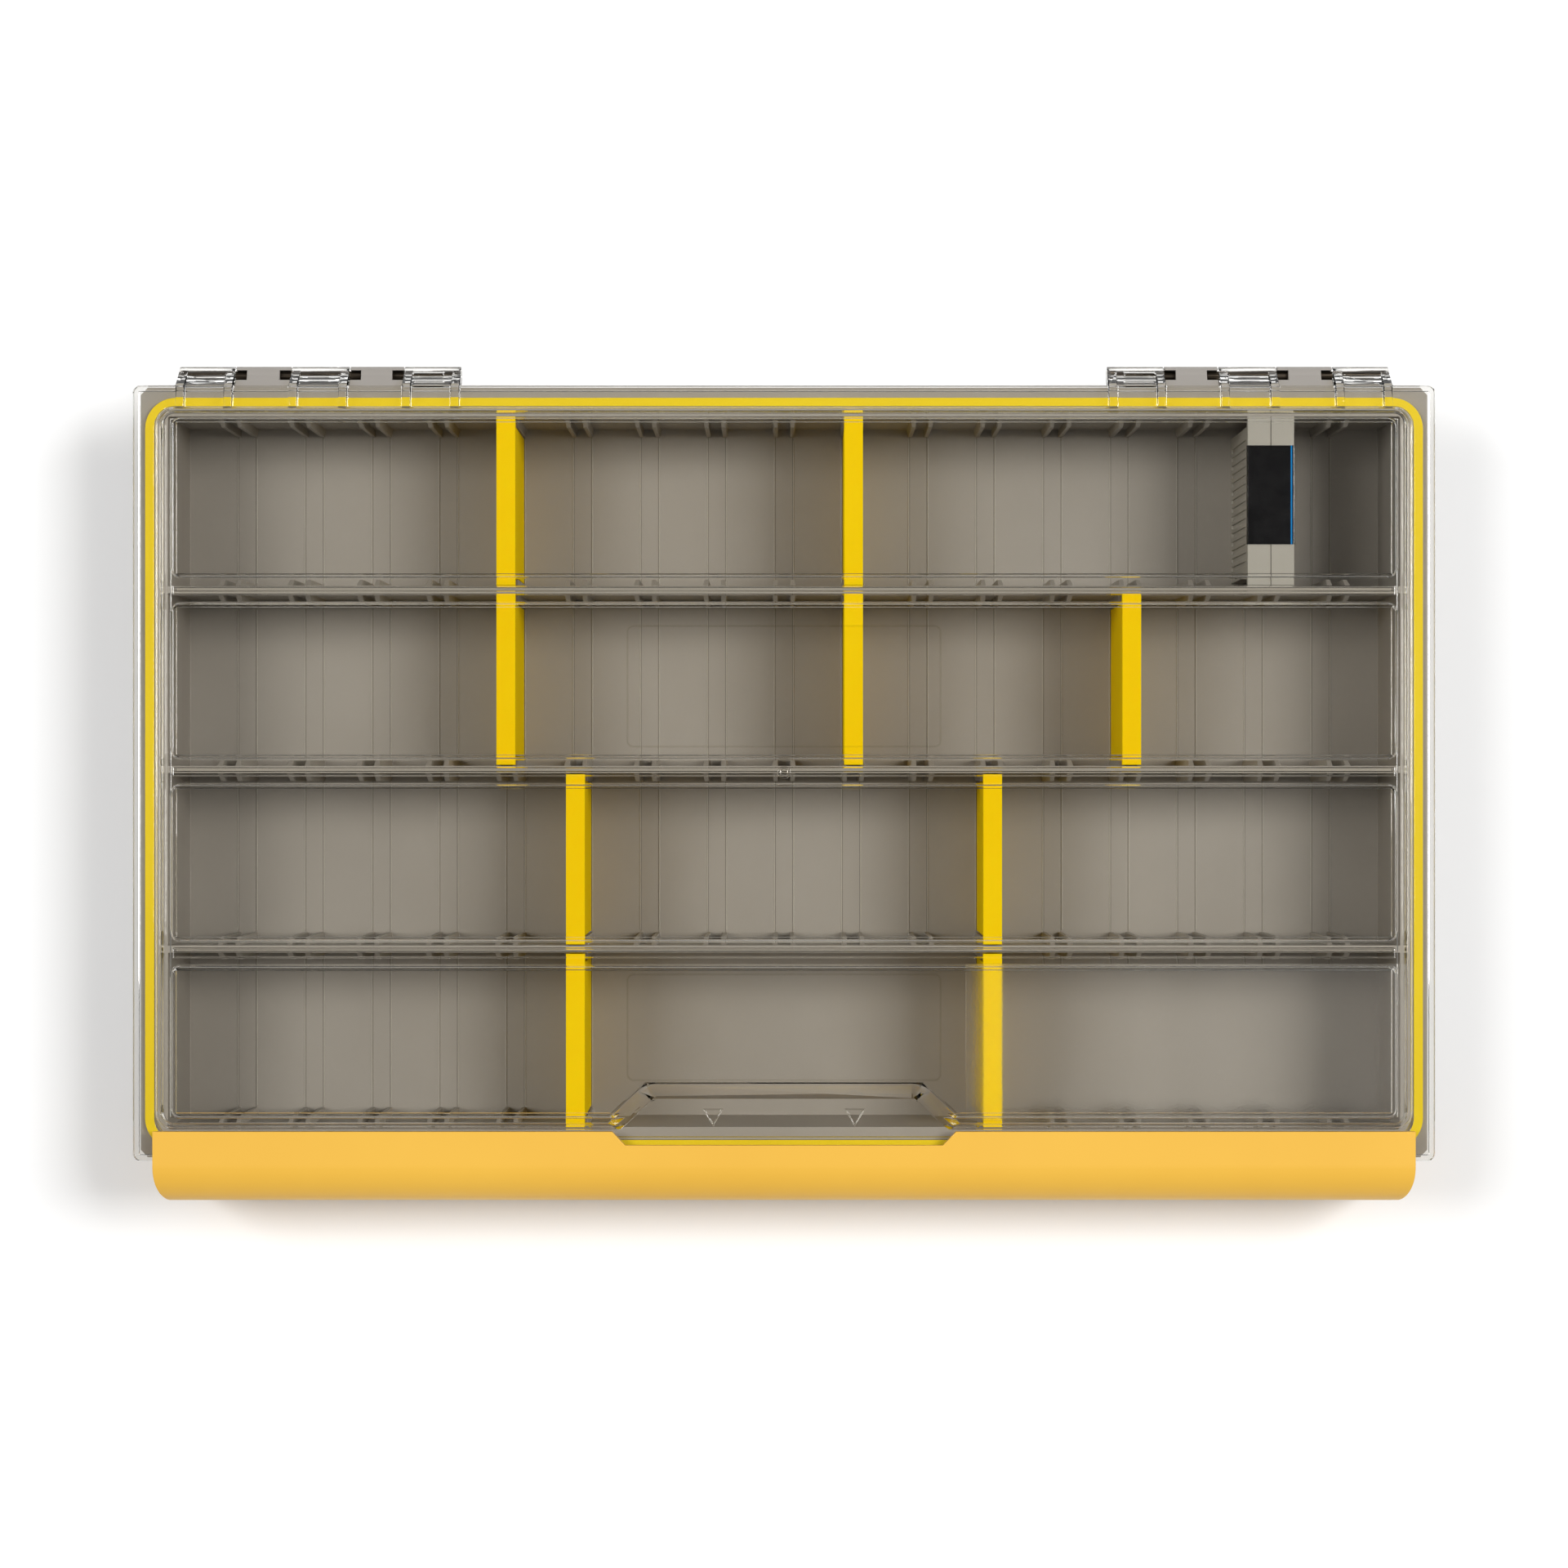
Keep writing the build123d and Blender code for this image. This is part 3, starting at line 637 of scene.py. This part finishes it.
def make_recess_arrow(name, x, material):
    """An open triangle on the finger recess, pointing at the latch."""
    piece = start_piece(
        bpy.ops.mesh.primitive_cylinder_add,
        vertices=3,
        radius=arrow_radius,
        depth=arrow_height + mark_seat,
        location=(x, arrow_middle_y, recess_floor + (arrow_height - mark_seat) / 2),
        rotation=(0, 0, math.pi),
    )
    pick_faces(piece, lambda normal, centre: abs(normal.z) > 0.9)
    bpy.ops.mesh.inset(thickness=arrow_line, depth=0)
    bpy.ops.mesh.bridge_edge_loops()
    pick_faces(piece, lambda normal, centre: normal.z > 0.9)
    bpy.ops.mesh.bevel(offset=arrow_height / 3, segments=2, affect="EDGES")
    end_piece(piece, name, "lid", material)


def make_gate_mark(material):
    """The round, slightly dished mark that the mould's gate leaves in the middle of the lid."""
    piece = start_piece(
        bpy.ops.mesh.primitive_cylinder_add,
        vertices=32,
        radius=gate_radius,
        depth=gate_top - gate_floor + mark_seat,
        location=(0, gate_y, (gate_top + gate_floor - mark_seat) / 2),
    )
    pick_faces(piece, lambda normal, centre: normal.z > 0.9)
    bpy.ops.mesh.bevel(offset=gate_dish / 3, segments=2, affect="EDGES")
    pick_faces(piece, lambda normal, centre: normal.z > 0.99)
    bpy.ops.mesh.inset(thickness=gate_dish, depth=0)
    bpy.ops.mesh.inset(thickness=gate_dish / 2, depth=-gate_dish / 2)
    end_piece(piece, "lid_gate_mark", "lid", material)


def make_pad_frame(row, front, back, material):
    """A fine rounded frame line on the underside of a pad."""
    piece = start_piece(
        bpy.ops.mesh.primitive_cube_add,
        size=1,
        location=(0, (front + back) / 2, pad_ceiling - (frame_height - mark_seat) / 2),
        scale=(2 * frame_half_length, back - front, frame_height + mark_seat),
    )
    bpy.ops.mesh.select_mode(type="EDGE")
    bpy.ops.mesh.select_all(action="DESELECT")
    bpy.ops.object.mode_set(mode="OBJECT")
    places = [vertex.co for vertex in piece.data.vertices]
    for edge in piece.data.edges:
        ends = [places[number] for number in edge.vertices]
        edge.select = abs(ends[0].z - ends[1].z) > frame_height / 2
    bpy.ops.object.mode_set(mode="EDIT")
    bpy.ops.mesh.bevel(offset=frame_corner, segments=6, affect="EDGES")
    bpy.ops.mesh.select_mode(type="FACE")
    pick_faces(piece, lambda normal, centre: abs(normal.z) > 0.9)
    bpy.ops.mesh.inset(thickness=frame_line, depth=0)
    bpy.ops.mesh.bridge_edge_loops()
    end_piece(piece, f"lid_frame_line_{row}", "lid", material)


def make_wick_band(material):
    """Thin film over the moisture divider's top, with rounded folds down its two sides."""
    low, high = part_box("wick_label")
    piece = start_piece(
        bpy.ops.mesh.primitive_cube_add,
        size=1,
        location=((low.x + high.x) / 2, band_middle_y, (low.z + high.z) / 2),
        scale=tuple(high - low),
    )
    pick_faces(piece, lambda normal, centre: normal.z < -0.9 or abs(normal.y) > 0.9)
    bpy.ops.mesh.delete(type="FACE")
    pick_faces(piece, lambda normal, centre: normal.z > 0.9)
    bpy.ops.mesh.bevel(offset=band_fold, segments=3, affect="EDGES")
    bpy.ops.object.mode_set(mode="OBJECT")
    film = piece.modifiers.new("film", "SOLIDIFY")
    film.thickness = band_film
    film.offset = -1
    bpy.ops.object.modifier_apply(modifier="film")
    bpy.ops.object.mode_set(mode="EDIT")
    end_piece(piece, "wick_band", "base", material)
    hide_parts("wick_label")


def make_fine_features():
    """The floor ridges, the marks on the lid, and the pieces that stand for three CAD nodes."""
    # The ridges are the tray's plastic in a lighter tone, a painted highlight
    ridge_lit_grey = moulded_plastic("ridge_lit_plastic", *ridge_lit_tones, roughness=0.4)
    clear = nodes["lid"].data.materials[0]
    for row, front, back, runs in slot_rows:
        for first_slot, count in runs:
            make_floor_ridges(row, front, back, first_slot, count, ridge_lit_grey)
    make_rounded_lid()
    make_tray_with_open_windows()
    make_wick_band(nodes["wick_label"].data.materials[0])
    for side, place in (("left", -arrow_from_middle), ("right", arrow_from_middle)):
        make_recess_arrow(f"recess_arrow_{side}", place, clear)
    make_gate_mark(clear)
    for row, front, back in frame_spans:
        make_pad_frame(row, front, back, clear)


make_fine_features()


# Studio


def soft_light(name, place, size, power, seen=True):
    """A square area light that faces the middle of the box; unseen, it gives no highlights."""
    data = bpy.data.lights.new(name, "AREA")
    data.size = size
    data.energy = power
    light = bpy.data.objects.new(name, data)
    bpy.context.scene.collection.objects.link(light)
    light.location = place
    light.rotation_euler = (-Vector(place)).to_track_quat("-Z", "Y").to_euler()
    light.visible_glossy = seen
    light.visible_transmission = seen


def build_studio():
    """A pale paper floor, three soft lights, a fill light round the horizon, and the camera."""
    bpy.ops.object.select_all(action="DESELECT")
    bpy.ops.mesh.primitive_plane_add(size=2 * floor_half_size, location=(0, 0, -floor_drop))
    floor = bpy.context.object
    floor.name = "studio_floor"
    paper, tree, shader = new_material("studio_paper")
    shader.inputs["Base Color"].default_value = (floor_tone, floor_tone, floor_tone, 1.0)
    shader.inputs["Roughness"].default_value = 0.9
    floor.data.materials.append(paper)

    for side, name, power in (
        (-1, "soft_light_left", left_light_power),
        (1, "soft_light_right", right_light_power),
    ):
        place = (side * side_light_distance, side_light_back, side_light_height)
        soft_light(name, place, side_light_size, power)
    soft_light(
        "soft_light_top", (0, 0, top_light_height), top_light_size, top_light_power, seen=False
    )

    # Fill light: none from straight above, rising towards the horizon
    world = bpy.data.worlds.new("studio_fill")
    bpy.context.scene.world = world
    world.use_nodes = True
    tree = world.node_tree
    sky = tree.nodes["Background"]
    sky.inputs["Color"].default_value = (1, 1, 1, 1)
    direction = tree.nodes.new("ShaderNodeTexCoord").outputs["Generated"]
    apart = tree.nodes.new("ShaderNodeSeparateXYZ")
    tree.links.new(direction, apart.inputs[0])
    upright = maths(tree, "MULTIPLY", apart.outputs[2], apart.outputs[2])
    level = maths(tree, "SUBTRACT", 1.0, upright)
    tree.links.new(maths(tree, "MULTIPLY", level, horizon_strength), sky.inputs["Strength"])

    data = bpy.data.cameras.new("camera_above")
    data.lens = camera_lens
    data.sensor_width = camera_sensor
    camera = bpy.data.objects.new("camera_above", data)
    bpy.context.scene.collection.objects.link(camera)
    camera.location = (0, 0, camera_height)
    bpy.context.scene.camera = camera
    bpy.context.scene.view_settings.view_transform = "Standard"


build_studio()
